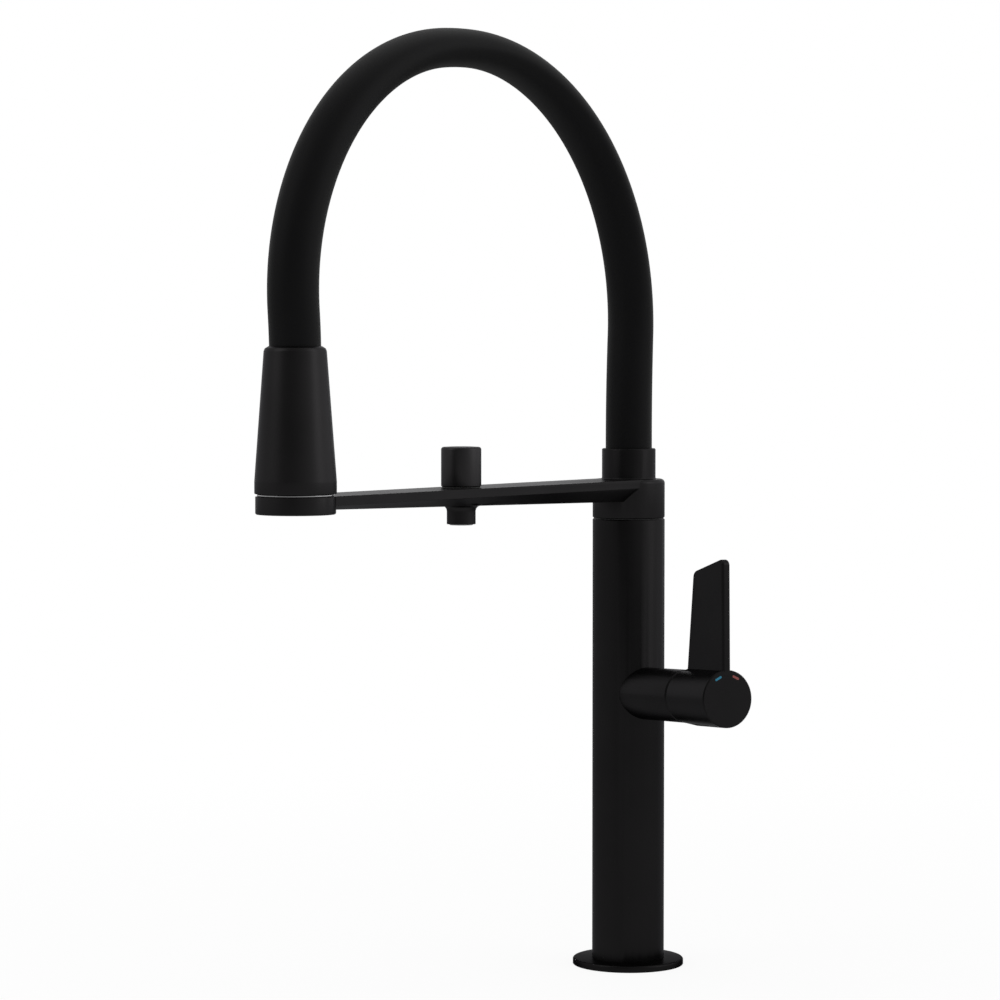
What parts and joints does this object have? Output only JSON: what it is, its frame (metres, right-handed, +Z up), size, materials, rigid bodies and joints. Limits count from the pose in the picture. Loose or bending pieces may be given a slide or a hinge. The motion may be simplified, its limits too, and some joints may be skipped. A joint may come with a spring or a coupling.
{
  "type": "kitchen tap",
  "caption": "Deck-mounted kitchen tap with a high hose arch, spray head docked on a swivelling arm, side lever for mixed water and a knob with its own outlet for filtered water.",
  "frame": {"origin": "on the column axis, at the underside of the base flange, where it lies on the worktop", "axes": "+Z up along the column, +X the way the side lever points, -Y to the front of the sink"},
  "size_m": [0.1493, 0.2961, 0.5556],
  "materials": {
    "gunmetal": "satin",
    "silicone": "matte",
    "rubber": "matte",
    "brass": "machined",
    "copper": "drawn",
    "steel": "brushed",
    "polished": "polished",
    "ceramic": "polished",
    "plastic_black": "matte",
    "plastic_grey": "matte",
    "plastic_white": "matte",
    "blue": "enamel",
    "red": "enamel"
  },
  "bodies": {
    "base": {"base_flange": "gunmetal", "base_seal": "rubber", "threaded_shank": "brass", "clamp_gasket": "rubber", "clamp_washer": "steel", "mounting_nut": "brass", "column_body": "gunmetal", "inlet_manifold": "brass", "manifold_collar": "brass", "hot_inlet_socket": "brass", "cold_inlet_socket": "brass", "filtered_inlet_socket": "brass", "hot_riser_tube": "copper", "cold_riser_tube": "copper", "filtered_riser_tube": "copper", "mixed_riser_tube": "copper", "mixer_block": "brass", "cartridge_seal": "rubber", "cartridge_body": "plastic_white", "cartridge_retaining_nut": "brass", "mixing_disc_fixed": "ceramic", "spout_spigot": "brass", "spigot_seal_ring": "rubber", "swivel_slip_ring": "plastic_black"},
    "temperature_rotor": {"cartridge_rotor": "plastic_white", "stem_pivot_pin": "steel"},
    "moving_disc": {"mixing_disc_moving": "ceramic", "disc_carrier": "plastic_white"},
    "lever": {"lever_handle": "gunmetal", "cartridge_stem": "steel", "handle_grub_screw": "steel", "cold_mark": "blue", "hot_mark": "red"},
    "arm": {"docking_arm": "gunmetal", "docking_bush": "plastic_black", "swivel_grub_screw": "steel", "valve_body": "brass", "valve_disc_fixed": "ceramic", "filter_aerator": "plastic_grey", "hose_ferrule": "gunmetal", "hose_nipple": "brass", "nipple_seal_ring": "rubber", "hose_sleeve": "silicone", "support_conduit": "plastic_black", "inner_water_hose": "plastic_grey"},
    "knob": {"filter_knob": "gunmetal", "knob_grub_screw": "steel", "valve_stem": "brass", "valve_disc_turning": "ceramic"},
    "head_carrier": {"swivel_nut": "brass"},
    "spray_head": {"spray_head_shell": "gunmetal", "head_trim_ring": "polished", "spray_face": "plastic_black", "nozzle_insert": "silicone", "head_waterway": "plastic_white", "check_valve": "plastic_white"}
  },
  "joints": [
    {"name": "arm_swivel", "type": "hinge", "parent": "base", "child": "arm", "pos_m": [0, 0, 0.2425], "axis": [0, 0, 1], "range_deg": [-97, 53]},
    {"name": "temperature_turn", "type": "hinge", "parent": "base", "child": "temperature_rotor", "pos_m": [0.04494, 0, 0.15035], "axis": [0.9986, 0, 0.0523], "range_deg": [-45, 45]},
    {"name": "flow_tilt", "type": "hinge", "parent": "temperature_rotor", "child": "lever", "pos_m": [0.04494, 0, 0.15035], "axis": [0, 1, 0], "range_deg": [0, 20]},
    {"name": "disc_slide", "type": "slide", "parent": "temperature_rotor", "child": "moving_disc", "axis": [-0.0523, 0, 0.9986], "range_m": [0, 0.0042]},
    {"name": "filter_knob_turn", "type": "hinge", "parent": "arm", "child": "knob", "pos_m": [0.05304, -0.13129, 0.2838], "axis": [0, 0, 1], "range_deg": [0, 90]},
    {"name": "head_lift", "type": "slide", "parent": "arm", "child": "head_carrier", "axis": [0, 0, 1], "range_m": [0, 0.012], "deforming": ["hose_sleeve", "support_conduit", "inner_water_hose"]},
    {"name": "head_swivel", "type": "hinge", "parent": "head_carrier", "child": "spray_head", "pos_m": [0.0995, -0.24626, 0.2629], "axis": [0, 0, 1], "continuous": true}
  ],
  "couplings": [
    {"joint": "disc_slide", "follows": "flow_tilt", "m_per_rad": 0.012}
  ]
}
